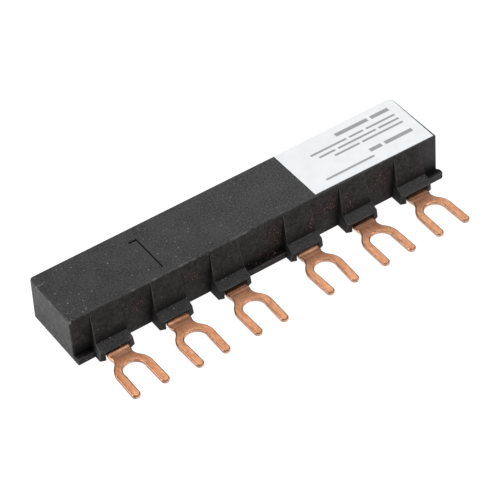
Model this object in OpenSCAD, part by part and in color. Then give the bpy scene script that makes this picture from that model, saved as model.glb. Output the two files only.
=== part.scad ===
// Insulated three-phase comb bus bar with six fork tags, for two breakers side by side.
// Millimetres. X runs along the bar, the forks point to -Y, Z is up and the base is at z = 0.
// The origin is on the base, below the centre of the housing's top.

/* [Housing] */
// Length of the housing
body_l = 88; // [86:0.5:100]
// Depth of the housing at its top
body_d = 15.3; // [14:0.1:20]
// Height of the housing
body_h = 10.4; // [9.8:0.1:14]
// Thickness of the upright walls
wall = 1.2; // [0.8:0.1:1.6]
// Thickness of the top
top_t = 1.4; // [0.8:0.1:1.8]
// How far the front wall leans out at its foot
draft = 0.3; // [0.1:0.05:0.6]
// How far the back wall leans out at its foot
back_draft = 0.6; // [0.1:0.05:0.9]
// Radius of the upright corners at the back
corner_r = 1.3; // [0.4:0.1:1.5]
// Radius of the upright corners at the front
front_corner_r = 0.5; // [0.2:0.05:0.6]
// Radius of the top edges
edge_r = 0.3; // [0.1:0.05:0.6]
// Height of the base ledge
ledge_h = 1.5; // [0.8:0.1:2]
// How far the base ledge stands out from the top of the front wall
ledge_out = 1.6; // [1:0.1:2.4]
// How far the ledge stands out at the right-hand end
end_ledge_out = 2; // [1.6:0.1:2.4]
// How far the ledge stands past the right-hand end
end_ledge_past = 0.4; // [0.2:0.05:0.45]
// Radius of the ledge's corner at the right-hand end
ledge_r = 0.5; // [0.3:0.1:0.6]
// Number of hold-down ribs under the top
rib_count = 5; // [3:2:9]
// Thickness of a hold-down rib
rib_t = 1.2; // [0.8:0.1:2]

/* [Hoods] */
// Width of a hood at its foot
hood_w = 8; // [7.6:0.1:9]
// Width of the gusset where the hood roof begins
brow_w = 7.2; // [6.8:0.1:7.5]
// Width of the sloped gusset where it meets the top edge
gusset_w = 6.4; // [5:0.1:7]
// How far a hood stands out from the top of the front wall
hood_out = 3.65; // [3:0.05:4]
// Height of a hood's front face
hood_h = 2.15; // [2.1:0.05:2.5]
// How far the gusset stands out where the hood roof begins
brow_out = 1.65; // [1.2:0.05:2.2]
// Height at which the hood roof begins
brow_h = 3.35; // [3.2:0.05:4.5]
// Sideways cut of a hood's front corners
hood_cut_x = 1.1; // [0.4:0.1:1.2]
// Lengthways cut of a hood's front corners
hood_cut_y = 0.4; // [0.2:0.05:1.4]
// Thickness of the gusset wall, measured level
gusset_t = 0.95; // [0.7:0.05:1.1]
// Height of a hood's mouth
mouth_h = 1.9; // [1.6:0.05:1.95]
// Room on each side of a tag inside its hood
tag_gap = 0.25; // [0.1:0.05:0.4]

/* [Forks] */
// Distance between the middle poles of the two breakers
device_pitch = 45; // [44:0.5:54]
// Distance between neighbouring poles of one breaker
pole_pitch = 13.75; // [12:0.25:14]
// How far the fork tips stand out from the top of the front wall
fork_reach = 16.1; // [15:0.1:20]
// Width of a fork slot
slot_w = 4.6; // [4.5:0.1:5.2]
// Depth of a fork slot from the tips
slot_depth = 8.7; // [7.5:0.1:9]
// Width of a prong
prong_w = 1.8; // [1.4:0.05:2.2]
// Width of a fork's neck
neck_w = 4.5; // [3.6:0.1:4.8]
// Radius between neck and fork
neck_r = 2.6; // [1.5:0.1:2.8]
// Width of a tag inside its hood
tag_w = 4.9; // [4.8:0.05:5.4]
// Height of the forks' underside
fork_z = 0.3; // [0.1:0.05:0.4]
// Outward lean of the left and right prong in degrees, fork by fork from the left
prong_lean = [[1, 1], [-2, -1], [-1, -1.5], [-2, -3], [0.5, 1.5], [1, 1.5]];
// Extra reach of each fork, from the left
fork_extra = [0, 0.45, 0.4, -0.1, 0.1, 0];
// How far each tag sits above its fork where it leaves the hood, from the left
tag_rise = [0.3, 0.3, 0, 0.3, 0, 0];

/* [Stack] */
// Thickness of the copper
bar_t = 0.9; // [0.7:0.05:1]
// Thickness of an insulating separator
sep_t = 1.6; // [1.2:0.1:1.7]
// Thickness of the base cover
cover_t = 1.2; // [1:0.1:1.4]
// Room round the base cover
cover_gap = 0.1; // [0.05:0.05:0.2]
// Room round the bars and separators
stack_gap = 0.4; // [0.35:0.05:0.8]
// How far the bars stay back from the separators' front edge
bar_setback = 1; // [0.5:0.1:2]
// Middle radius of the large tag bends
bend_r = 1; // [0.9:0.05:1.1]
// Middle radius of the small bends at the hood mouth
ramp_r = 0.8; // [0.6:0.1:1]
// Where the large bends level out, in front of the wall
drop_end = 1.5; // [1.2:0.1:2]
// Where the small bends begin, in front of the wall
ramp_start = 3.1; // [2.6:0.1:3.4]
// Where the forks become flat, in front of the wall
ramp_end = 4.2; // [4:0.1:4.4]

/* [Top] */
// Left edge of the label, from the middle of the housing
label_x = 14; // [5:0.5:25]
// Margin between the label and the right-hand end at the front
label_end = 0.55; // [0.2:0.05:3]
// Margin between the label and the right-hand end at the back
label_end_back = 0.35; // [0.2:0.05:3]
// Margin of the label along the front at its left corner
label_skew = 0.6; // [0.4:0.05:1.5]
// Margin of the label along the front at its right corner
label_rim = 0.3; // [0.3:0.05:1.5]
// Margin of the label along the back
label_back = 0.15; // [0.1:0.05:1.5]
// Radius of the label's back right corner
label_r = 1.3; // [0.5:0.1:3]
// Thickness of the label
label_t = 0.1; // [0.05:0.05:0.3]
// Long leg of the slit, from the middle of the housing
slit_x = -21.5; // [-30:0.5:0]
// Start of the slit's long leg, behind the front wall
slit_y = 2; // [1:0.5:4]
// Length of the slit's long leg
slit_l = 9.8; // [6:0.1:10]
// Width of the slit's long leg
slit_w = 0.3; // [0.15:0.05:0.5]
// Length of the slit's short leg
slit_foot_l = 1.9; // [1:0.1:4]
// Width of the slit's short leg
slit_foot_w = 0.45; // [0.2:0.05:0.8]
// Depth of the slit
slit_t = 0.6; // [0.2:0.05:0.7]

/* [Hidden] */
$fn = 48;
// Overlap that makes joined shapes one solid, and lets cuts pass through a face
lap = 0.5;
// Room above the top bar in a hood's tunnel
tunnel_room = 0.4;
// How much lower than its outside the hood roof begins on the inside
roof_step = 0.3;
// Length of a facet in the bends and in the rounds of a fork's outline
facet = 0.25;
// How much wider than the slot its round end is
slot_relief = 0.05;
// How far outside the walls the round corners' outline lies, so that each wall cuts it at an angle
corner_clear = 0.03;
// How far behind the inside of the front wall each bar's bends start, from the top bar down
bend_back = [0.3, 0.3, 0];

fork_x = [
    -device_pitch / 2 - pole_pitch, -device_pitch / 2, -device_pitch / 2 + pole_pitch,
    device_pitch / 2 - pole_pitch, device_pitch / 2, device_pitch / 2 + pole_pitch
];
wall_y = -body_d / 2;
inner_l = body_l - 2 * wall;
inner_d = body_d - 2 * wall;
ceiling = body_h - top_t;
wall_top = body_h - edge_r;

// Undersides of the bars, from the top bar down
level_step = bar_t + sep_t;
bar_z = [cover_t + 2 * level_step, cover_t + level_step, cover_t];
stack_top = bar_z[0] + bar_t;

slot_r = slot_w / 2;
shoulder_r = slot_r + prong_w;
prong_l = slot_depth - slot_r - prong_w / 2;
fillet_x = neck_w / 2 + neck_r;
fillet_v = -sqrt(pow(shoulder_r + neck_r, 2) - pow(fillet_x, 2));
shoulder_a = atan2(fillet_v, fillet_x);

// Inside face of a gusset at height z, as a distance in front of the wall
function gusset_in(z) = brow_out * (wall_top - z) / (wall_top - brow_h) - gusset_t;

// Angle of a double bend that drops h over a level run, with middle radius r
function bend_angle(h, run, r) =
    atan2(h - 2 * r, run) + asin(2 * r / sqrt(run * run + pow(h - 2 * r, 2)));

function polar(r, a) = r * [cos(a), sin(a)];

function arc(c, r, a0, a1) =
    let (steps = max(2, ceil(r * abs(a1 - a0) * PI / 180 / facet)))
    [for (i = [0:steps]) c + polar(r, a0 + (a1 - a0) * i / steps)];

function turned(list, a) =
    [for (p = list) [p[0] * cos(a) - p[1] * sin(a), p[0] * sin(a) + p[1] * cos(a)]];

function mirrored(list) = [for (p = list) [-p[0], p[1]]];

// One face of a double bend from p down to q: side is 1 for the upper face, -1 for the lower
function bend_face(p, q, r, side) =
    let (a = bend_angle(p[1] - q[1], q[0] - p[0], r))
    concat(
        arc([p[0], p[1] - r], r + side * bar_t / 2, 90, 90 - a),
        arc([q[0], q[1] + r], r - side * bar_t / 2, 270 - a, 270)
    );

// One face of a tag from its bar to its fork, for a bar level and the rise at the hood mouth
function tag_face(level, rise, side) =
    let (
        mid = bar_t / 2,
        low = fork_z + mid,
        start = -wall - bend_back[level]
    )
    concat(
        [[start - stack_gap - bar_setback - lap, bar_z[level] + mid + side * mid]],
        bend_face([start, bar_z[level] + mid], [drop_end, low + rise], bend_r, side),
        rise > 0 ? bend_face([ramp_start, low + rise], [ramp_end, low], ramp_r, side) : [],
        [[ramp_end + lap / 2, low + side * mid]]
    );

function reversed(list) = [for (i = [len(list) - 1:-1:0]) list[i]];

// Places shapes drawn from the top of the front wall, with forward as -Y
module at_wall(x = 0, z = 0) {
    translate([x, wall_y, z]) children();
}

// Extrudes a side outline along X: its first axis points forward, its second up
module along_x(width) {
    rotate([90, 0, -90]) linear_extrude(width, center = true) children();
}

// Extrudes a front outline along Y, through the whole depth
module along_y(depth) {
    rotate([90, 0, 0]) linear_extrude(depth, center = true) children();
}

// Prism with two round corners of radius r, which leans out from the top of a wall with that draft
module round_corners(r, lean) {
    half = body_l / 2 + corner_clear;
    rotate([atan(lean / wall_top), 0, 0])
        translate([0, corner_clear, -2 * body_h])
            linear_extrude(3 * body_h) {
                translate([-half, -2 * body_d]) square([2 * half, 2 * body_d - r]);
                translate([r - half, -2 * r]) square([2 * (half - r), 2 * r]);
                for (x = [r - half, half - r])
                    translate([x, -r]) circle(r);
            }
}

module body_side() {
    polygon([
        [draft, 0], [0, wall_top], [-edge_r, body_h],
        [edge_r - body_d, body_h], [-body_d, wall_top], [-body_d - back_draft, 0]
    ]);
    for (u = [-edge_r, edge_r - body_d])
        translate([u, wall_top]) circle(edge_r);
}

module body_front() {
    half = body_l / 2;
    polygon([
        [-half, 0], [half, 0], [half, wall_top],
        [half - edge_r, body_h], [edge_r - half, body_h], [-half, wall_top]
    ]);
    for (x = [edge_r - half, half - edge_r])
        translate([x, wall_top]) circle(edge_r);
}

module body_block() {
    intersection() {
        along_x(2 * body_l) body_side();
        along_y(3 * body_d) body_front();
        translate([0, body_d, wall_top]) round_corners(corner_r, back_draft);
        translate([0, 0, wall_top]) mirror([0, 1, 0]) round_corners(front_corner_r, draft);
    }
}

module hood() {
    half = hood_w / 2;
    intersection() {
        along_x(hood_w) polygon([
            [-lap, 0], [hood_out, 0], [hood_out, hood_h],
            [brow_out, brow_h], [0, wall_top], [-lap, wall_top]
        ]);
        along_y(3 * body_d) polygon([
            [-half, 0], [half, 0], [brow_w / 2, brow_h],
            [gusset_w / 2, body_h], [-gusset_w / 2, body_h], [-brow_w / 2, brow_h]
        ]);
        linear_extrude(body_h) polygon([
            [-half, lap], [-half, hood_cut_y - hood_out], [hood_cut_x - half, -hood_out],
            [half - hood_cut_x, -hood_out], [half, hood_cut_y - hood_out], [half, lap]
        ]);
    }
}

module tunnel() {
    roof_in = brow_h - roof_step;
    top = stack_top + tunnel_room;
    along_x(tag_w + 2 * tag_gap) polygon([
        [-wall - lap, -lap], [hood_out + lap, -lap], [hood_out + lap, mouth_h], [hood_out, mouth_h],
        [gusset_in(roof_in), roof_in], [gusset_in(top), top], [-wall - lap, top]
    ]);
}

module ledge(x0, x1) {
    translate([x0, -ledge_out, 0]) cube([x1 - x0, ledge_out + 2 * lap, ledge_h]);
}

module end_ledge(x0) {
    half = body_l / 2;
    x1 = half + end_ledge_past;
    linear_extrude(ledge_h) polygon(concat(
        [[half - lap, lap], [x0, lap], [x0, -end_ledge_out]],
        arc([x1 - ledge_r, ledge_r - end_ledge_out], ledge_r, -90, 0),
        [[x1, -2 * end_ledge_past]]
    ));
}

module slit() {
    translate([slit_x - slit_w / 2, slit_y, body_h - slit_t]) cube([slit_w, slit_l, slit_t + lap]);
    translate([slit_x + slit_w / 2 - slit_foot_l, slit_y + slit_l - slit_foot_w, body_h - slit_t])
        cube([slit_foot_l, slit_foot_w, slit_t + lap]);
}

module housing() {
    half = body_l / 2;
    rib_step = inner_l / rib_count;
    color([0.09, 0.09, 0.09]) {
        difference() {
            at_wall() {
                body_block();
                for (x = fork_x)
                    translate([x, 0, 0]) hood();
                ledge(-half, fork_x[0] - hood_w / 2 + lap);
                ledge(fork_x[2] + hood_w / 2 - lap, fork_x[3] - hood_w / 2 + lap);
                end_ledge(fork_x[5] + hood_w / 2 - lap);
            }
            at_wall() {
                translate([-inner_l / 2, wall, -lap]) cube([inner_l, inner_d, ceiling + lap]);
                for (x = fork_x)
                    translate([x, 0, 0]) tunnel();
                slit();
            }
        }
        for (i = [0:rib_count - 1])
            at_wall((i - (rib_count - 1) / 2) * rib_step - rib_t / 2, stack_top)
                translate([0, wall - lap, 0]) cube([rib_t, inner_d + 2 * lap, ceiling - stack_top + lap]);
    }
}

module base_cover() {
    color([0.1, 0.1, 0.1])
        at_wall()
            translate([cover_gap - inner_l / 2, wall + cover_gap, 0])
                cube([inner_l - 2 * cover_gap, inner_d - 2 * cover_gap, cover_t]);
}

module separator(z) {
    color([0.13, 0.13, 0.13])
        at_wall(0, z)
            translate([stack_gap - inner_l / 2, wall + stack_gap, 0])
                cube([inner_l - 2 * stack_gap, inner_d - 2 * stack_gap, sep_t]);
}

module separator_upper() {
    separator(bar_z[1] + bar_t);
}

module separator_lower() {
    separator(bar_z[2] + bar_t);
}

// Right half of a fork's outline from its tag to its slot, drawn from the centre of the slot's end
function fork_half(lean, tag_v) = concat(
    [[tag_w / 2, tag_v], [tag_w / 2, tag_v + lap]],
    arc([fillet_x, fillet_v], neck_r, 180, 180 + shoulder_a),
    arc([0, 0], shoulder_r, shoulder_a, -lean),
    turned(arc([slot_r + prong_w / 2, prong_l], prong_w / 2, 0, 180), -lean),
    [polar(slot_r, -lean)]
);

module fork_plan(lean, tag_v) {
    difference() {
        polygon(concat(fork_half(lean[1], tag_v), reversed(mirrored(fork_half(lean[0], tag_v)))));
        circle(slot_r + slot_relief);
    }
}

module comb_bar(level, tags) {
    front = wall + stack_gap + bar_setback;
    color([0.72, 0.45, 0.3]) {
        at_wall(0, bar_z[level])
            translate([stack_gap - inner_l / 2, front, 0])
                cube([inner_l - 2 * stack_gap, body_d - wall - stack_gap - front, bar_t]);
        for (k = tags) {
            slot_u = fork_reach + fork_extra[k] - slot_depth + slot_r;
            at_wall(fork_x[k]) {
                along_x(tag_w) polygon(concat(
                    tag_face(level, tag_rise[k], 1), reversed(tag_face(level, tag_rise[k], -1))
                ));
                translate([0, 0, fork_z]) linear_extrude(bar_t)
                    mirror([0, 1]) translate([0, slot_u]) fork_plan(prong_lean[k], ramp_end - slot_u);
            }
        }
    }
}

module bar_l1() {
    comb_bar(0, [0, 3]);
}

module bar_l2() {
    comb_bar(1, [1, 4]);
}

module bar_l3() {
    comb_bar(2, [2, 5]);
}

module rating_label() {
    right = body_l / 2 - label_end_back;
    back = body_d - label_back;
    color([0.92, 0.93, 0.95])
        at_wall(0, body_h)
            linear_extrude(label_t) polygon(concat(
                [[label_x, back], [label_x, label_skew], [body_l / 2 - label_end, label_rim]],
                arc([right - label_r, back - label_r], label_r, 0, 90)
            ));
}

housing();
base_cover();
bar_l1();
bar_l2();
bar_l3();
separator_upper();
separator_lower();
rating_label();
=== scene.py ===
"""Looks of an insulated three-phase comb bus bar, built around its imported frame."""
import math

import bmesh
import bpy
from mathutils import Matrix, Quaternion, Vector, noise


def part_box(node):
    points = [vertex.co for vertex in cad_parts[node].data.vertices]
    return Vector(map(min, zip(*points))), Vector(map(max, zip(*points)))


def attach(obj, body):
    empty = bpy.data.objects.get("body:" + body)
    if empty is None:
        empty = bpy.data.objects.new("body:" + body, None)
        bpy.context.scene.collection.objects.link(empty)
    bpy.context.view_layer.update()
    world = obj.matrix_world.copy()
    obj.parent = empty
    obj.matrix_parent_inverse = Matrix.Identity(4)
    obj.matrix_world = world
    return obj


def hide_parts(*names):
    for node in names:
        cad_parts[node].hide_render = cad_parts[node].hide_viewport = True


MM = 0.001
PER_MM = 1000.0


def rgb(red, green, blue):
    return (red, green, blue, 1.0)


# Camera
AIM = Vector((0.927, -1.887, -1.165)) * MM
DISTANCE = 436.16 * MM
AZIMUTH = -31.82
ELEVATION = 43.754
ROLL = -4.04
FOCAL_PX = 2157.6
FRAME_PX = 500
SENSOR = 36.0
CLIP_START = 0.01

# Edges
WELD = 0.002 * MM
FLAT_ANGLE = math.radians(0.5)
SHARP_ANGLE = math.radians(28)
SMOOTH_ANGLE = math.radians(35)
BEND_ANGLE = math.radians(5)
MOULDED_EDGE = 0.12 * MM
SHEARED_EDGE = 0.25 * MM
EDGE_SEGMENTS = 3

# Places on the housing, in millimetres
FRONT_Y = -7.65
TOP_Z = 10.4
EDGE_R = 0.3
MIDDLE_BAY = 4.7
END_BAYS = 40.5
LEDGE_TOP = 1.6
LEDGE_FRONT = -9.25
ROOF_BACK = 3.35
GUSSET_LEFTS = (-40.25, -26.5, -12.75, 4.75, 18.5, 32.25)
SLIT_LOW = Vector((-24, -6, 9.5)) * MM
SLIT_HIGH = Vector((-21, 5, 10.5)) * MM

# Chip and fray of the front top edge, in millimetres, with its waves per millimetre
CHIP_DEPTH = 0.2
CHIP_PALENESS = 1.6
RAGGED_START = -34.0
RAGGED_END = -2.0
RAGGED_STEP = 0.3
RAGGED_DEPTH = 0.14
RAGGED_PALENESS = 0.6
RAGGED_BULGE = 0.4
SWELL_WAVES = 0.4
SWELL_ROW = 3
SWELL_MEAN = 0.4
SWELL_SWING = 0.6
RIPPLE_WAVES = 2.6
RIPPLE_ROW = 7
FAR_ALONG = 100
SLACK = 0.01

# Stretches over which the housing's colour changes, in millimetres
# Stretch of the painted shade towards the base of the side walls
WALL_FADE_Z = (9.0, 2.5)
# Stretch of the painted shade that darkens the top to the left
TOP_FADE_X = (8, -36)
TOP_ONLY_Z = (6, 9)
# Stretch of the painted light on the right-hand bay
BAY_LIGHT_X = (38, 42)
SPARSE_DUST_X = (-20, 5)
SHELTERED_X = (10, 20)
SHELTERED_Z = (9.5, 10)
HANDLED_Z = (4.0, 7.0)
BAY_BACK_Y = (-7.0, -7.6)
BAY_FRONT_Y = (LEDGE_FRONT, LEDGE_FRONT + 0.3)
LEFT_BAY_X = (-39, -41)
LEFT_BAY_RISE = 0.7
# Stretch of the painted shade low in the bays
BAY_SHADE_Z = (5.4, LEDGE_TOP + 0.5)
GUSSET_FACE_Y = (-8.1, -8.5)
FOOT_Z = (ROOF_BACK + 2.4, ROOF_BACK + 0.1)
ABOVE_ROOF_Z = (ROOF_BACK - 0.3, ROOF_BACK - 0.1)
WALL_ONLY_Y = (-8.2, -7.9)
WALL_SHADE_Z = (9.5, 5.0)
WALL_SHADE_WIDTH = 3.2
LEDGE_DUST_X = (MIDDLE_BAY - 0.5, MIDDLE_BAY - 1.5)
LEDGE_DUST_FRONT_Y = (-8.5, -8.2)
LEDGE_DUST_BACK_Y = (-7.5, -7.6)
LEDGE_DUST_Z = (LEDGE_TOP + 0.6, LEDGE_TOP + 0.4)

# Marks on the housing, in millimetres
# Reach of the painted shade in inner corners
CREVICE = 1.2
SCRATCH = (-43.2, 4.6, 10.4)
SCRATCH_REACH = 1.3
SCRATCH_STRETCH = (1, 5, 1)
# Place and reach of a painted highlight on the back right top corner
HIGHLIGHT_CORNER = (43.7, 7.4, 10.4)
HIGHLIGHT_REACH = 1.1
BROWN_DUST = (
    ((3.9, -7.7, 6.0), 3.4), ((11.8, -8.9, 5.2), 2.6), ((0.5, -8.2, 2.0), 2.4),
    ((16.0, -7.7, 6.0), 3.6), ((20.3, -8.6, 6.0), 2.6), ((29.3, -7.7, 6.2), 3.0),
    ((-16.6, -7.7, 6.2), 2.2), ((-29.6, -7.7, 6.4), 2.2),
)

# Colours of the moulding: a pair is its dark and light mottling
BLACK = rgb(0, 0, 0)
WALL = (rgb(0.025, 0.025, 0.025), rgb(0.0625, 0.0625, 0.0625))
WARM_FRONT = (rgb(0.0142, 0.0126, 0.0127), rgb(0.0467, 0.0412, 0.0416))
TOP = (rgb(0.0208, 0.021, 0.0212), rgb(0.053, 0.0533, 0.0536))
# Painted light on the front of the right-hand bay
BAY_LIGHT = rgb(0.06, 0.059, 0.059)
DUST_FILM = rgb(0.062, 0.061, 0.06)
SMALL_SPECK = rgb(0.3, 0.28, 0.27)
LARGE_SPECK = rgb(0.42, 0.4, 0.38)
SCRATCHED = rgb(0.18, 0.18, 0.18)
# Painted shade for the bays, the feet of the gussets and the walls beside them
PAINTED_SHADE = rgb(0.0045, 0.0042, 0.0042)
BROWN_HAZE = rgb(0.035, 0.018, 0.014)
BROWN_SPECK = rgb(0.27, 0.165, 0.128)
# Paler edges: partly wear, partly painted highlight
WORN_AND_HIGHLIT_EDGE = rgb(0.22, 0.21, 0.2)
# Painted shade in inner corners
CREVICE_SHADE = rgb(0.006, 0.0055, 0.0055)
LEDGE_SPECK = rgb(0.36, 0.22, 0.18)
# Painted highlight on a rounded corner
CORNER_HIGHLIGHT = rgb(0.5, 0.5, 0.5)

# Stretches over which the copper's colour changes, in millimetres
TAGS_X = (-36, 36)
LEFT_TAGS_X = (-36, -9)
PRONG_Y = (-13.8, -14.8)
NECK_Y = (-16.0, -13.2)
NECK_BACK_Y = (-13.2, -11.6)
RAMP_Y = (-13.0, -12.0)
FOLD_Y = (-13.6, -12.6)
SLOT_END_Y = (-17.0, -16.0)
OPEN_END_Y = (-17.0, -16.2)

# Middles of the forks' round slot ends and the reach of the bright ring around them, in millimetres
SLOT_CENTRES = (
    (-36.25, -17.35, 1.2), (-22.5, -17.8, 1.2), (-8.75, -17.75, 1.2),
    (8.75, -17.25, 1.2), (22.5, -17.45, 1.2), (36.25, -17.35, 1.2),
)
SLOT_RING = 3.0

# Colours of the copper: a pair is the dark and light end of its streaks, or its left and right end. The
# change from the left to the right is painted light and shade.
# Painted light: the copper runs from the first pair on the left to the paler second pair on the right
DULL_COPPER = (rgb(0.465, 0.2, 0.097), rgb(0.645, 0.296, 0.157))
PALE_COPPER = (rgb(0.56, 0.265, 0.14), rgb(0.775, 0.395, 0.225))
# Pale streaks along the prongs: partly grain, partly painted highlight
STREAK_AND_HIGHLIGHT = rgb(0.85, 0.45, 0.24)
SHEARED_WALL = (rgb(0.36, 0.17, 0.11), rgb(0.82, 0.52, 0.39))
# Painted shade on the prongs' left walls, deepest on the left forks
LEFT_WALL_SHADE = (rgb(0.27, 0.165, 0.12), rgb(0.48, 0.31, 0.23))
NECK_WALL = rgb(0.94, 0.69, 0.58)
TARNISH = rgb(0.26, 0.126, 0.078)
# Painted shade on the forward-facing ramps
RAMP_SHADE = rgb(0.16, 0.082, 0.058)
# Painted shade and highlight of fine ridges across the necks
FOLD_SHADE = rgb(0.11, 0.052, 0.036)
FOLD_HIGHLIGHT = rgb(0.64, 0.34, 0.235)
STAIN = rgb(0.3, 0.13, 0.065)
PIT = rgb(0.2, 0.09, 0.05)
SLOT_END = rgb(0.74, 0.37, 0.215)
# Dark rims and pits, with painted shade adding to the rims on the far sides and the prongs' left
DARK_RIM = rgb(0.1, 0.055, 0.042)

# Bars printed on the label, in millimetres: distance from the back edge, height, then start and length
# of each bar from the right-hand edge
PRINT_ROWS = (
    (2.5, 1.0, ((2.4, 4.6), (7.8, 8.2))),
    (4.7, 0.55, ((2.4, 7.4), (10.5, 3.6), (14.8, 9.0))),
    (6.1, 0.55, ((2.4, 5.2), (8.3, 9.6), (18.6, 4.0))),
    (7.5, 0.55, ((2.4, 10.4), (13.5, 6.2))),
    (10.6, 1.0, ((2.4, 7.0), (10.2, 3.0))),
    (12.4, 0.55, ((13.4, 12.0),)),
)
INK_BLEED = 0.09
FILM = (rgb(0.58, 0.59, 0.6), rgb(0.62, 0.63, 0.64))
INK = rgb(0.13, 0.13, 0.135)

# Shine, specks and inner corners
MATT_SPECULAR = 0.12
SPECK_CORE = 0.4
FAINT_SPECK = 0.35
CORNER_SAMPLES = 8

# Stage: each light has its place and target in metres, its width in metres and its power in watts
WHITE = rgb(1, 1, 1)
FLOOR_GREY = rgb(0.15, 0.15, 0.15)
FLOOR_SIZE = 4.0
FLOOR_DROP = 0.05 * MM
FLOOR_GLOW = 0.95
WORLD_GLOW = 0.15
LIGHTS = (
    ("key", (-0.85, 0.42, 0.34), (0, 0, 0), 0.7, 19.5),
    ("top", (0.1, 0.3, 1.2), (0, 0, 0), 0.9, 6.5),
    ("front", (-0.1, -0.45, 0.9), (0, 0, 0), 0.5, 1.2),
    ("sheen", (0.42, 0.6, 0.7), (0, 0, 0), 0.6, 0.9),
    ("fill", (0.14, -0.13, 0.14), (0.02, 0, 0), 0.14, 0.2),
)


class Paint:
    """A material whose nodes are added one call at a time, with its pattern measured in millimetres."""

    def __init__(self, name):
        self.material = bpy.data.materials.new(name)
        self.material.use_nodes = True
        self.tree = self.material.node_tree
        self.shader = next(n for n in self.tree.nodes if n.type == "BSDF_PRINCIPLED")
        place = self.add("ShaderNodeTexCoord").outputs["Object"]
        scaled = self.add("ShaderNodeVectorMath", {0: place, "Scale": PER_MM}, operation="SCALE")
        self.place = scaled.outputs["Vector"]

    def add(self, kind, inputs=None, **settings):
        node = self.tree.nodes.new(kind)
        for key, value in settings.items():
            setattr(node, key, value)
        for key, value in (inputs or {}).items():
            self.feed(node.inputs[key], value)
        return node

    def feed(self, socket, value):
        if isinstance(value, bpy.types.NodeSocket):
            self.tree.links.new(value, socket)
        else:
            socket.default_value = value

    def set(self, **values):
        for key, value in values.items():
            self.feed(self.shader.inputs[key.replace("_", " ")], value)

    def noise(self, scale, detail=2.0, stretch=None):
        """Clouds between zero and one, with the scale in clouds per millimetre."""
        place = self.stretched(self.place, stretch) if stretch else self.place
        inputs = {"Vector": place, "Scale": scale, "Detail": detail}
        return self.add("ShaderNodeTexNoise", inputs).outputs["Fac"]

    def math(self, operation, a, b=0.0):
        return self.add("ShaderNodeMath", {0: a, 1: b}, operation=operation).outputs[0]

    def times(self, *values):
        product = values[0]
        for value in values[1:]:
            product = self.math("MULTIPLY", product, value)
        return product

    def most(self, *values):
        largest = values[0]
        for value in values[1:]:
            largest = self.math("MAXIMUM", largest, value)
        return largest

    def spread(self, value, low, high, start=0.0, end=1.0):
        """Start where the value is low, end where it is high, and an even change between them."""
        inputs = {"Value": value, "From Min": low, "From Max": high, "To Min": start, "To Max": end}
        return self.add("ShaderNodeMapRange", inputs).outputs["Result"]

    def mix(self, share, a, b):
        node = self.add("ShaderNodeMix", data_type="RGBA")
        self.feed(node.inputs[0], share)
        self.feed(node.inputs[6], a)
        self.feed(node.inputs[7], b)
        return node.outputs[2]

    def axes(self, vector):
        return self.add("ShaderNodeSeparateXYZ", {"Vector": vector}).outputs

    def normal(self):
        return self.add("ShaderNodeNewGeometry").outputs["Normal"]

    def attribute(self, name):
        return self.add("ShaderNodeAttribute", attribute_name=name).outputs["Fac"]

    def stretched(self, vector, factors):
        return self.add("ShaderNodeVectorMath", {0: vector, 1: factors}, operation="MULTIPLY").outputs[0]

    def near(self, centre, radius, factors=(1, 1, 1)):
        """One at the centre, falling to nothing at the radius, with the distances stretched by axis."""
        away = self.add("ShaderNodeVectorMath", {0: self.place, 1: centre}, operation="SUBTRACT").outputs[0]
        away = self.stretched(away, factors)
        length = self.add("ShaderNodeVectorMath", {0: away}, operation="LENGTH").outputs["Value"]
        return self.spread(length, radius, 0)

    def specks(self, cell, radius, share):
        """Round specks of about that radius, in that share of the cells of a random grid."""
        inputs = {"Vector": self.place, "Scale": 1 / cell}
        cells = self.add("ShaderNodeTexVoronoi", inputs)
        pick = self.add("ShaderNodeSeparateColor", {"Color": cells.outputs["Color"]}).outputs
        inside = self.spread(cells.outputs["Distance"], radius / cell, SPECK_CORE * radius / cell)
        chosen = self.math("LESS_THAN", pick["Red"], share)
        bright = self.spread(pick["Green"], 0, 1, FAINT_SPECK, 1)
        return self.times(inside, chosen, bright)

    def openness(self, distance):
        """One on an open face, less in inner corners of the same piece within the distance."""
        inputs = {"Distance": distance * MM}
        node = self.add("ShaderNodeAmbientOcclusion", inputs, samples=CORNER_SAMPLES, only_local=True)
        return node.outputs["AO"]

    def bump(self, height, strength, depth):
        inputs = {"Height": height, "Strength": strength, "Distance": depth * MM}
        self.set(Normal=self.add("ShaderNodeBump", inputs).outputs["Normal"])


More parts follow.
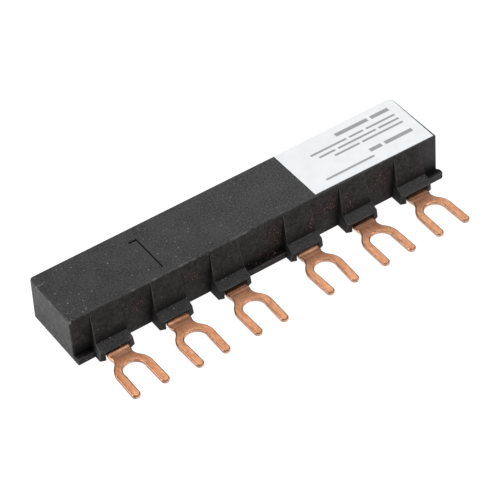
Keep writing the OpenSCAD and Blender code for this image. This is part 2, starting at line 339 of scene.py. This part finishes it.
class Moulding(Paint):
    """Matt glass-filled plastic, mottled, with dust, painted shade in its bays and inner corners, a painted
    highlight on one corner, and paler edges that are partly wear and partly painted highlight.
    """

    def __init__(self, name):
        super().__init__(name)
        self.at = self.axes(self.place)
        self.along = self.math("ABSOLUTE", self.at["X"])
        self.facing = self.axes(self.normal())
        self.front = self.spread(self.facing["Y"], -0.2, -0.8)
        self.grain = self.noise(2.6, 4)
        self.fine = self.noise(9, 2)
        self.cloud = self.noise(0.25, 3)
        colour = self.bare()
        colour = self.dusted(colour)
        colour = self.scratched(colour)
        colour = self.shaded(colour)
        colour = self.browned(colour)
        colour = self.worn_and_highlit(colour)
        colour = self.cornered(colour)
        roughness = self.spread(self.grain, 0.3, 0.7, 0.6, 0.75)
        self.set(Base_Color=colour, Roughness=roughness, Specular_IOR_Level=MATT_SPECULAR)
        self.bump(self.fine, 0.25, 0.03)

    def bare(self):
        """Grey walls with painted shade towards their base, a warmer front, painted light on the right-hand
        bay, and painted shade darkening the top to the left.
        """
        mottled = self.spread(self.grain, 0.36, 0.64)
        patches = self.math("ADD", self.times(self.grain, 0.5), self.times(self.noise(1.1, 3), 0.5))
        blotchy = self.spread(patches, 0.34, 0.66)
        wall = self.mix(blotchy, *WALL)
        # Painted shade: the side walls darken towards their base
        wall = self.mix(self.spread(self.at["Z"], *WALL_FADE_Z, end=0.27), wall, BLACK)
        wall = self.mix(self.spread(self.cloud, 0.35, 0.65, end=0.14), wall, BLACK)
        warm = self.mix(blotchy, *WARM_FRONT)
        warm = self.mix(self.spread(self.noise(0.8, 3), 0.45, 0.65, end=0.3), warm, BLACK)
        top = self.mix(mottled, *TOP)
        # Painted shade: the top darkens to the left
        top_left = self.spread(self.at["X"], *TOP_FADE_X, end=0.22)
        top = self.mix(self.times(top_left, self.spread(self.at["Z"], *TOP_ONLY_Z)), top, BLACK)
        colour = self.mix(self.spread(self.facing["Z"], 0.15, 0.75), self.mix(self.front, wall, warm), top)
        # Painted light: the front of the right-hand bay is paler
        bay_light = self.times(self.front, self.spread(self.at["X"], *BAY_LIGHT_X, end=0.5))
        return self.mix(bay_light, colour, BAY_LIGHT)

    def dusted(self, colour):
        """A thin film on top, with small specks everywhere and large ones mostly on the left of the top."""
        up = self.facing["Z"]
        film = self.times(self.spread(up, 0.3, 0.9), self.spread(self.cloud, 0.35, 0.75, end=0.35))
        colour = self.mix(film, colour, DUST_FILM)
        small = self.times(self.specks(0.36, 0.1, 0.4), self.spread(self.front, 0, 1, 0.16, 0.2))
        colour = self.mix(small, colour, SMALL_SPECK)
        sparse = self.spread(self.at["X"], *SPARSE_DUST_X, 1, 0.5)
        large = self.times(self.specks(0.9, 0.14, 0.5), self.spread(up, 0.0, 0.6, 0.4, 0.7), sparse)
        return self.mix(large, colour, LARGE_SPECK)

    def scratched(self, colour):
        mark = self.spread(self.near(SCRATCH, SCRATCH_REACH, SCRATCH_STRETCH), 0, 0.5, end=0.6)
        return self.mix(self.times(mark, self.spread(self.fine, 0.35, 0.65)), colour, SCRATCHED)

    def shaded(self, colour):
        """Painted shade in the bays, at the feet of the gussets and on the walls to the left of them."""
        # Painted shade low in the bays and on their ledge tops
        middle = self.spread(self.along, MIDDLE_BAY + 1, MIDDLE_BAY - 1)
        bays = self.most(middle, self.spread(self.along, END_BAYS - 1, END_BAYS))
        recess = self.times(self.spread(self.at["Y"], *BAY_BACK_Y), self.spread(self.at["Y"], *BAY_FRONT_Y))
        rise = self.spread(self.at["X"], *LEFT_BAY_X, end=LEFT_BAY_RISE)
        low_down = self.spread(self.math("SUBTRACT", self.at["Z"], rise), *BAY_SHADE_Z)
        bay_shade = self.times(bays, recess, self.math("POWER", low_down, 1.3), 0.95)
        # Painted shadow at the feet of the gussets, above the hood roofs
        upright = self.spread(self.facing["Y"], -0.75, -0.92)
        gusset = self.times(upright, self.spread(self.at["Y"], *GUSSET_FACE_Y))
        foot = self.math("POWER", self.spread(self.at["Z"], *FOOT_Z), 1.2)
        foot = self.times(gusset, foot, self.spread(self.at["Z"], *ABOVE_ROOF_Z), 0.98)
        # Painted shade on the walls just to the left of each gusset
        beside = 0.0
        for edge in GUSSET_LEFTS:
            on_left = self.math("LESS_THAN", self.at["X"], edge + 0.2)
            close = self.spread(self.at["X"], edge - WALL_SHADE_WIDTH, edge)
            beside = self.most(beside, self.times(on_left, close))
        on_wall = self.times(self.front, self.spread(self.at["Y"], *WALL_ONLY_Y))
        beside = self.times(beside, on_wall, self.spread(self.at["Z"], *WALL_SHADE_Z, 0.15, 0.42))
        return self.mix(self.most(beside, bay_shade, foot), colour, PAINTED_SHADE)

    def browned(self, colour):
        """Brown dust on the front, as a haze with specks in it."""
        dusty = self.most(0.0, *(self.near(centre, radius) for centre, radius in BROWN_DUST))
        haze = self.times(self.front, self.spread(dusty, 0, 0.6, end=0.25))
        colour = self.mix(haze, colour, BROWN_HAZE)
        specks = self.times(self.specks(0.5, 0.17, 0.6), self.spread(self.facing["Z"], 0.8, 0.5, 0.5, 1))
        specks = self.times(specks, self.spread(dusty, 0, 0.5, 0.08, 0.9))
        return self.mix(specks, colour, BROWN_SPECK)

    def worn_and_highlit(self, colour):
        """Paler edges, partly wear and partly painted highlight, most on the top and least where they face
        right or the label shelters them.
        """
        by_label = self.spread(self.at["X"], *SHELTERED_X)
        sheltered = self.times(by_label, self.spread(self.at["Z"], *SHELTERED_Z), 0.7)
        handled = self.math("SUBTRACT", self.spread(self.at["Z"], *HANDLED_Z, 0.6, 1.0), sheltered)
        pale = self.times(self.attribute("rim"), self.spread(self.cloud, 0.35, 0.65, 0.08, 0.4), handled)
        # The painted highlight fades where the edges face right
        pale = self.times(pale, self.spread(self.facing["X"], 0.1, 0.5, 1, 0.4))
        return self.mix(self.math("MINIMUM", pale, 0.9), colour, WORN_AND_HIGHLIT_EDGE)

    def cornered(self, colour):
        """Painted shade in inner corners, a row of specks along the middle ledge and a painted highlight on
        one corner.
        """
        # Painted shade in inner corners, from the piece's own occlusion
        crevice = self.spread(self.openness(CREVICE), 0.9, 0.45, end=0.85)
        colour = self.mix(crevice, colour, CREVICE_SHADE)
        row = self.times(
            self.spread(self.along, *LEDGE_DUST_X), self.spread(self.at["Y"], *LEDGE_DUST_FRONT_Y),
            self.spread(self.at["Y"], *LEDGE_DUST_BACK_Y), self.spread(self.at["Z"], *LEDGE_DUST_Z),
        )
        colour = self.mix(self.times(row, self.specks(0.42, 0.16, 0.6), 0.9), colour, LEDGE_SPECK)
        # Painted highlight on the back right top corner
        highlight = self.spread(self.near(HIGHLIGHT_CORNER, HIGHLIGHT_REACH), 0, 0.5)
        return self.mix(highlight, colour, CORNER_HIGHLIGHT)


class Copper(Paint):
    """Stamped copper with painted light making it paler to the right, tarnished necks with painted shade
    and highlight on their folds, bright slot ends and dark rims that are partly painted shade.
    """

    def __init__(self, name):
        super().__init__(name)
        self.at = self.axes(self.place)
        self.facing = self.axes(self.normal())
        self.level = self.spread(self.facing["Z"], 0.3, 0.7)
        self.grain = self.noise(5, 4)
        self.streak = self.noise(2.2, 4, (1, 0.4, 1))
        left_side = self.spread(self.facing["X"], -0.2, -0.6)
        self.prong_side = self.times(left_side, self.spread(self.at["Y"], *PRONG_Y))
        self.neck_side = self.math("SUBTRACT", left_side, self.prong_side)
        colour = self.streaked()
        colour = self.sheared(colour)
        colour = self.tarnished(colour)
        colour = self.folded(colour)
        colour = self.stained(colour)
        colour = self.brightened(colour)
        colour = self.rimmed(colour)
        roughness = self.spread(self.streak, 0.3, 0.7, 0.48, 0.36)
        self.set(Base_Color=colour, Metallic=1.0, Roughness=roughness)
        self.bump(self.grain, 0.25, 0.02)

    def streaked(self):
        banded = self.spread(self.streak, 0.32, 0.68)
        dull = self.mix(banded, *DULL_COPPER)
        pale = self.mix(banded, *PALE_COPPER)
        # Painted light: paler to the right
        colour = self.mix(self.spread(self.at["X"], *TAGS_X), dull, pale)
        # Pale streaks along the prongs, partly grain and partly painted highlight
        gloss = self.noise(1.1, 2, (1, 0.12, 1))
        return self.mix(self.spread(gloss, 0.5, 0.7, end=0.4), colour, STREAK_AND_HIGHLIGHT)

    def sheared(self, colour):
        """Upright walls, streaked by the shears, with painted shade dulling the prongs' left and pale
        beside the necks.
        """
        shear = self.noise(6, 2, (1, 1, 0.15))
        wall = self.mix(self.spread(shear, 0.34, 0.5), *SHEARED_WALL)
        # Painted shade on the prongs' left walls
        shaded_left_wall = self.mix(self.spread(self.at["X"], *LEFT_TAGS_X), *LEFT_WALL_SHADE)
        wall = self.mix(self.times(self.prong_side, 0.95), wall, shaded_left_wall)
        wall = self.mix(self.times(self.neck_side, 0.8), wall, NECK_WALL)
        steep = self.spread(self.math("ABSOLUTE", self.facing["Z"]), 0.6, 0.2)
        return self.mix(self.times(steep, 0.85), colour, wall)

    def tarnished(self, colour):
        """Brown necks, and painted shade on the ramps where a tag bends down."""
        neck = self.spread(self.at["Y"], *NECK_Y, 0.05, 0.72)
        neck = self.times(neck, self.spread(self.at["Y"], *NECK_BACK_Y, 1, 0))
        cloud = self.noise(0.7, 3)
        colour = self.mix(self.times(self.spread(cloud, 0.25, 0.7, 0.6, 1.2), neck), colour, TARNISH)
        # Painted shade on the forward-facing ramps
        ramp = self.times(self.spread(self.at["Y"], *RAMP_Y), self.spread(self.facing["Y"], -0.05, -0.35))
        return self.mix(self.times(ramp, 0.5), colour, RAMP_SHADE)

    def folded(self, colour):
        """Painted shade and highlight in fine dark and light lines across the necks."""
        lines = self.noise(2.3, 1, (0.08, 1, 0))
        across = self.times(self.spread(self.at["Y"], *FOLD_Y), self.level)
        colour = self.mix(self.times(across, self.spread(lines, 0.47, 0.36), 0.55), colour, FOLD_SHADE)
        return self.mix(self.times(across, self.spread(lines, 0.5, 0.62), 0.6), colour, FOLD_HIGHLIGHT)

    def stained(self, colour):
        stain = self.times(self.spread(self.noise(1.1, 3), 0.56, 0.68), 0.4)
        colour = self.mix(stain, colour, STAIN)
        return self.mix(self.times(self.specks(0.6, 0.13, 0.35), 0.5), colour, PIT)

    def brightened(self, colour):
        """A bright ring around the round end of each slot."""
        ring = self.most(0.0, *(self.near(centre, SLOT_RING) for centre in SLOT_CENTRES))
        ring = self.times(self.spread(ring, 0, 0.2), self.spread(self.at["Y"], *SLOT_END_Y), self.level)
        return self.mix(self.times(ring, 0.65), colour, SLOT_END)

    def rimmed(self, colour):
        """Dark edges with pits along all of them, and painted shade making them darkest on the far sides
        and on the left of the prongs.
        """
        edge = self.attribute("rim")
        # Painted shade on the edges that face away and on the prongs' left
        away = self.math("ADD", self.times(self.facing["X"], 0.5), self.times(self.facing["Y"], 0.85))
        far = self.spread(away, -0.4, 0.2, 0.5, 1.0)
        far = self.times(far, self.spread(self.grain, 0.35, 0.6, 0.55, 1))
        left = self.times(self.prong_side, self.spread(self.at["X"], *LEFT_TAGS_X, 0.78, 0.6))
        dark = self.times(edge, self.spread(self.facing["Z"], 0.0, 0.2), self.most(far, left))
        open_end = self.spread(self.facing["Y"], -0.1, -0.35)
        open_end = self.times(open_end, self.spread(self.at["Y"], *OPEN_END_Y))
        dark = self.times(dark, self.math("SUBTRACT", 1.0, self.most(open_end, self.neck_side)))
        pitted = self.times(edge, self.specks(0.5, 0.26, 0.55), 0.95)
        return self.mix(self.most(dark, pitted), colour, DARK_RIM)


class LabelFilm(Paint):
    """White film printed with plain grey bars."""

    def __init__(self, name):
        super().__init__(name)
        grain = self.noise(9, 2)
        cloud = self.noise(0.3, 3)
        colour = self.mix(self.spread(cloud, 0.3, 0.7), *FILM)
        patchy = self.spread(self.noise(6, 2), 0.3, 0.6, 0.6, 0.85)
        colour = self.mix(self.times(self.bars(), patchy), colour, INK)
        roughness = self.spread(grain, 0.3, 0.7, 0.56, 0.68)
        self.set(Base_Color=colour, Roughness=roughness, Specular_IOR_Level=MATT_SPECULAR)
        self.bump(cloud, 0.1, 0.05)

    def bars(self):
        right, back = (PER_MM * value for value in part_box("rating_label")[1][:2])
        at = self.axes(self.place)
        ink = 0.0
        for behind, height, bars in PRINT_ROWS:
            row = self.band(at["Y"], back - behind, height)
            for start, length in bars:
                bar = self.band(at["X"], right - start - length / 2, length)
                ink = self.most(ink, self.times(row, bar))
        return ink

    def band(self, value, middle, width):
        """One within half the width of the middle, with a soft edge."""
        away = self.math("ABSOLUTE", self.math("SUBTRACT", value, middle))
        return self.spread(away, width / 2 + INK_BLEED, width / 2 - INK_BLEED)


def link(obj):
    bpy.context.scene.collection.objects.link(obj)
    return obj


def dress(obj, material):
    obj.data.materials.clear()
    obj.data.materials.append(material)


def within(place, low, high):
    return all(low[i] <= place[i] <= high[i] for i in range(3))


def unique(items):
    """The items without repeats, in the order in which they come."""
    return list(dict.fromkeys(items))


def is_crisp(edge):
    """True for a sharp outer edge that isn't part of the slit on top."""
    if not edge.is_manifold or not edge.is_convex or edge.calc_face_angle() < SHARP_ANGLE:
        return False
    return not all(within(v.co, SLIT_LOW, SLIT_HIGH) for v in edge.verts)


def chip_corner(bm, rim):
    """Breaks a small flat chip off the front left top corner."""
    lean = Vector((-1, -1, 1)).normalized()
    reach = max(v.co.dot(lean) for v in bm.verts)
    geom = bm.verts[:] + bm.edges[:] + bm.faces[:]
    plane = lean * (reach - CHIP_DEPTH * MM)
    cut = bmesh.ops.bisect_plane(bm, geom=geom, plane_co=plane, plane_no=lean, clear_outer=True)
    border = [e for e in cut["geom_cut"] if isinstance(e, bmesh.types.BMEdge)]
    for face in bmesh.ops.edgeloop_fill(bm, edges=border)["faces"]:
        face[rim] = CHIP_PALENESS


def ragged(x):
    """How far the frayed edge strays at a place along it, from about minus one to one."""
    swell = SWELL_MEAN + SWELL_SWING * noise.noise(Vector((SWELL_WAVES * x, SWELL_ROW, 0)))
    return swell * noise.noise(Vector((RIPPLE_WAVES * x, RIPPLE_ROW, 0)))


def fray_edge(bm, rim):
    """Roughens a stretch of the front top edge and marks it as worn."""
    low = Vector((-FAR_ALONG, FRONT_Y - SLACK, TOP_Z - EDGE_R - SLACK)) * MM
    high = Vector((FAR_ALONG, FRONT_Y + EDGE_R + SLACK, TOP_Z + SLACK)) * MM
    strip = [f for f in bm.faces if all(within(v.co, low, high) for v in f.verts)]
    edges = unique(e for f in strip for e in f.edges)
    geom = edges + unique(v for f in strip for v in f.verts) + strip
    steps = int((RAGGED_END - RAGGED_START) / RAGGED_STEP)
    for i in range(steps + 1):
        cut = Vector(((RAGGED_START + i * RAGGED_STEP) * MM, 0, 0))
        geom = bmesh.ops.bisect_plane(bm, geom=geom, plane_co=cut, plane_no=Vector((1, 0, 0)))["geom"]
    for face in geom:
        if isinstance(face, bmesh.types.BMFace):
            x = face.calc_center_median().x * PER_MM
            if RAGGED_START < x < RAGGED_END:
                face[rim] = RAGGED_PALENESS + noise.noise(Vector((x, 0, 0)))
    for vert in unique(v for v in geom if isinstance(v, bmesh.types.BMVert)):
        x, _, z = vert.co * PER_MM
        if RAGGED_START < x < RAGGED_END and z < TOP_Z - 2 * SLACK:
            stray = ragged(x)
            vert.co.z += RAGGED_DEPTH * stray * MM
            if z > TOP_Z - EDGE_R + 2 * SLACK:
                vert.co.y -= RAGGED_BULGE * RAGGED_DEPTH * abs(stray) * MM


def stands_out(face):
    """True for a strip along an outer edge, false for one along an inner corner."""
    return any(e.is_convex and e.calc_face_angle(0) > BEND_ANGLE for e in face.edges)


def corner_normal(loop):
    """Normal at a face's corner, drawn towards the larger of the faces that it meets smoothly there."""
    face = loop.face
    total = face.calc_area() * face.normal
    for edge in (loop.edge, loop.link_loop_prev.edge):
        for other in edge.link_faces:
            if other is not face and other.normal.angle(face.normal, math.pi) < SMOOTH_ANGLE:
                total = total + other.calc_area() * other.normal
    return total.normalized()


def softened(node, name, width, material, wear=()):
    """Adds a copy of a CAD node with its sharp edges rounded, which stands for the node."""
    obj = link(bpy.data.objects.new(name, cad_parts[node].data.copy()))
    bm = bmesh.new()
    bm.from_mesh(obj.data)
    low = [min(v.co[i] for v in bm.verts) for i in range(3)]
    high = [max(v.co[i] for v in bm.verts) for i in range(3)]
    rim = bm.faces.layers.float.new("rim")
    bmesh.ops.remove_doubles(bm, verts=bm.verts, dist=WELD)
    bmesh.ops.dissolve_limit(bm, angle_limit=FLAT_ANGLE, verts=bm.verts, edges=bm.edges)
    made = bmesh.ops.bevel(
        bm, geom=[e for e in bm.edges if is_crisp(e)], offset=width, offset_type="OFFSET",
        segments=EDGE_SEGMENTS, profile=0.5, affect="EDGES", clamp_overlap=False,
    )
    for face in made["faces"]:
        face[rim] = float(stands_out(face))
    for change in wear:
        change(bm, rim)
    for vert in bm.verts:
        vert.co = [min(max(vert.co[i], low[i]), high[i]) for i in range(3)]
    for face in bm.faces:
        face.smooth = True
    bm.normal_update()
    normals = [corner_normal(loop) for face in bm.faces for loop in face.loops]
    bm.to_mesh(obj.data)
    bm.free()
    obj.data.normals_split_custom_set(normals)
    dress(obj, material)
    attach(obj, "root")
    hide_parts(node)


def make_camera():
    azimuth, elevation = math.radians(AZIMUTH), math.radians(ELEVATION)
    level = math.cos(elevation)
    back = Vector((math.sin(azimuth) * level, -math.cos(azimuth) * level, math.sin(elevation)))
    data = bpy.data.cameras.new("camera")
    data.sensor_width = SENSOR
    data.lens = SENSOR * FOCAL_PX / FRAME_PX
    data.clip_start = CLIP_START
    cam = link(bpy.data.objects.new("camera", data))
    cam.rotation_mode = "QUATERNION"
    cam.rotation_quaternion = back.to_track_quat("Z", "Y") @ Quaternion((0, 0, 1), math.radians(ROLL))
    cam.location = AIM + DISTANCE * back
    bpy.context.scene.camera = cam


def make_floor():
    bm = bmesh.new()
    bmesh.ops.create_grid(bm, x_segments=1, y_segments=1, size=FLOOR_SIZE / 2)
    mesh = bpy.data.meshes.new("floor")
    bm.to_mesh(mesh)
    bm.free()
    floor = link(bpy.data.objects.new("floor", mesh))
    floor.location.z = -FLOOR_DROP
    paint = Paint("floor")
    paint.set(Base_Color=FLOOR_GREY, Roughness=0.9, Specular_IOR_Level=0.0)
    paint.set(Emission_Color=WHITE, Emission_Strength=FLOOR_GLOW)
    dress(floor, paint.material)


def make_light(name, place, target, size, power):
    data = bpy.data.lights.new(name, "AREA")
    data.shape = "DISK"
    data.size = size
    data.energy = power
    lamp = link(bpy.data.objects.new(name, data))
    lamp.location = Vector(place)
    lamp.rotation_mode = "QUATERNION"
    lamp.rotation_quaternion = (Vector(place) - Vector(target)).to_track_quat("Z", "Y")


def make_world():
    world = bpy.data.worlds.new("studio")
    world.use_nodes = True
    background = world.node_tree.nodes["Background"]
    background.inputs["Color"].default_value = WHITE
    background.inputs["Strength"].default_value = WORLD_GLOW
    bpy.context.scene.world = world


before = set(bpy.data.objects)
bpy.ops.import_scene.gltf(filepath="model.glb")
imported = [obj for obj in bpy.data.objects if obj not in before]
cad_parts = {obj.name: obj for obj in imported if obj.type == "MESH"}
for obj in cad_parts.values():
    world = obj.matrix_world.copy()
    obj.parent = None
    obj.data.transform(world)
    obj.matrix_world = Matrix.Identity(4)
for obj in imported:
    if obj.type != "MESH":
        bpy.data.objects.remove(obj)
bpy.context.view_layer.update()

plastic = Moulding("black_plastic").material
metal = Copper("copper").material
softened("housing", "housing_moulding", MOULDED_EDGE, plastic, (chip_corner, fray_edge))
for level in (1, 2, 3):
    softened(f"bar_l{level}", f"comb_bar_l{level}", SHEARED_EDGE, metal)
for node in ("base_cover", "separator_upper", "separator_lower"):
    dress(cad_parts[node], plastic)
dress(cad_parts["rating_label"], LabelFilm("label_film").material)

make_camera()
make_floor()
for light in LIGHTS:
    make_light(*light)
make_world()
bpy.context.scene.view_settings.view_transform = "Standard"
